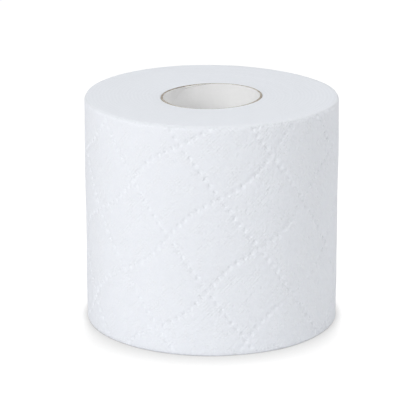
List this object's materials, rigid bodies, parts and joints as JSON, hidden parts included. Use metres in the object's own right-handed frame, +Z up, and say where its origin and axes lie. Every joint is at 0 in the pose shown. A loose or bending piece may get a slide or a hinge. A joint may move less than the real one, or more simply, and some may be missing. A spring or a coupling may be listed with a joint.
{
  "type": "toilet paper roll",
  "caption": "Roll of quilted white toilet tissue wound on a spiral card core that is open right through, standing on its end.",
  "frame": {"origin": "on the core's axis, in the plane that the roll stands on", "axes": "+Z up the core's axis, +X to the right seen from the front, and the web's glued tail at the back"},
  "size_m": [0.108, 0.1078, 0.0984],
  "materials": {
    "tissue": "soft matt tissue, embossed with rows of pin marks",
    "core_card": "uncoated grey board, spiral wound"
  },
  "bodies": {
    "root": {"paper_roll": "tissue", "cardboard_core": "core_card"}
  },
  "joints": []
}
